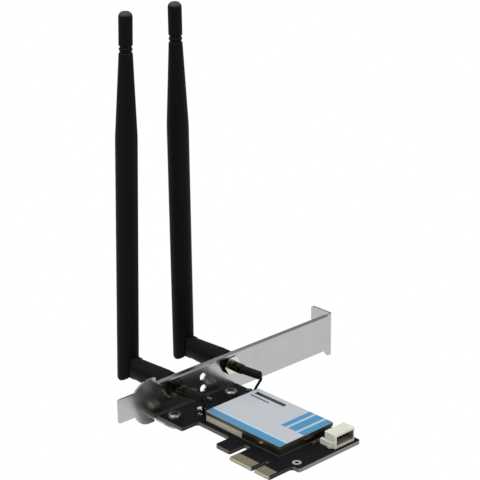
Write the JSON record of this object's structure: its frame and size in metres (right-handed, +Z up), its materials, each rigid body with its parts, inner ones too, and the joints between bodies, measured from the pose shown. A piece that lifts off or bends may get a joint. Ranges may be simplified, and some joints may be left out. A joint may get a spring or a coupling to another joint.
{
  "type": "wireless network card",
  "caption": "Wireless expansion card: black circuit board with a shielded radio and edge connector on a folded slot bracket, with hinged, swivelling rod aerials.",
  "frame": {"origin": "the key notch of the edge connector, on the connector's lower edge, at mid-thickness of the board", "axes": "+X along the board, away from the slot bracket; +Y from the edge connector towards the bracket's screw tab; +Z up from the component side of the board"},
  "size_m": [0.1047, 0.12, 0.1621],
  "materials": {
    "board": "black solder mask, satin",
    "contact_gold": "thin gold plating",
    "bracket_steel": "plated sheet, satin",
    "screw_steel": "plated",
    "shield_metal": "tinned sheet, bright",
    "lid_coating": "dark coated sheet",
    "label": "printed film, satin",
    "chip_black": "moulded, matt",
    "crystal_metal": "plated lid",
    "capacitor_ceramic": "fired ceramic",
    "tin_plating": "tinned",
    "header_nylon": "moulded, matt",
    "pin_metal": "tinned",
    "socket_brass": "plated, slightly dull",
    "insulator_white": "turned, matt",
    "sleeve_black": "shrunk tube, satin",
    "lead_black": "cable jacket, satin",
    "plug_metal": "plated",
    "aerial_black": "moulded, satin",
    "hinge_black": "blackened pin",
    "radiator_brass": "drawn tube"
  },
  "bodies": {
    "card": {"circuit_board": "board", "edge_contacts_top": "contact_gold", "edge_contacts_bottom": "contact_gold", "slot_bracket": "bracket_steel", "bracket_screws": "screw_steel", "shield_frame": "shield_metal", "shield_lid": "lid_coating", "shield_label": "label", "radio_chip": "chip_black", "front_end_chips": "chip_black", "crystal": "crystal_metal", "memory_chip": "chip_black", "shielded_capacitors": "capacitor_ceramic", "board_capacitors": "capacitor_ceramic", "hole_ring": "tin_plating", "usb_header": "header_nylon", "header_tabs": "tin_plating", "header_pins": "pin_metal", "sma_jack_left": "socket_brass", "sma_insulator_left": "insulator_white", "sma_pin_left": "contact_gold", "lock_washer_left": "socket_brass", "sma_nut_left": "socket_brass", "strain_sleeve_left": "sleeve_black", "lead_left": "lead_black", "board_receptacle_left": "contact_gold", "board_plug_left": "plug_metal", "coupling_nut_left": "socket_brass", "coupling_grip_left": "aerial_black", "sma_jack_right": "socket_brass", "sma_insulator_right": "insulator_white", "sma_pin_right": "contact_gold", "lock_washer_right": "socket_brass", "sma_nut_right": "socket_brass", "strain_sleeve_right": "sleeve_black", "lead_right": "lead_black", "board_receptacle_right": "contact_gold", "board_plug_right": "plug_metal", "coupling_nut_right": "socket_brass", "coupling_grip_right": "aerial_black"},
    "base_left": {"antenna_base_left": "aerial_black", "plug_ferrule_left": "socket_brass", "plug_insulator_left": "insulator_white", "plug_contact_left": "contact_gold"},
    "blade_left": {"hinge_pin_left": "hinge_black", "antenna_blade_left": "aerial_black", "radiator_left": "radiator_brass"},
    "base_right": {"antenna_base_right": "aerial_black", "plug_ferrule_right": "socket_brass", "plug_insulator_right": "insulator_white", "plug_contact_right": "contact_gold"},
    "blade_right": {"hinge_pin_right": "hinge_black", "antenna_blade_right": "aerial_black", "radiator_right": "radiator_brass"}
  },
  "joints": [
    {"name": "swivel_left", "type": "hinge", "parent": "card", "child": "base_left", "pos_m": [-0.08786, 0.0123, 0.01045], "axis": [1, 0, 0], "range_deg": [-3, 180]},
    {"name": "swivel_right", "type": "hinge", "parent": "card", "child": "base_right", "pos_m": [-0.08786, 0.04265, 0.01045], "axis": [-1, 0, 0], "range_deg": [-3, 180]},
    {"name": "tilt_left", "type": "hinge", "parent": "base_left", "child": "blade_left", "pos_m": [-0.08786, 0.0123, 0.01045], "axis": [0, -0.9993, 0.0375], "range_deg": [0, 90]},
    {"name": "tilt_right", "type": "hinge", "parent": "base_right", "child": "blade_right", "pos_m": [-0.08786, 0.04265, 0.01045], "axis": [0, -1, 0], "range_deg": [0, 90]}
  ]
}
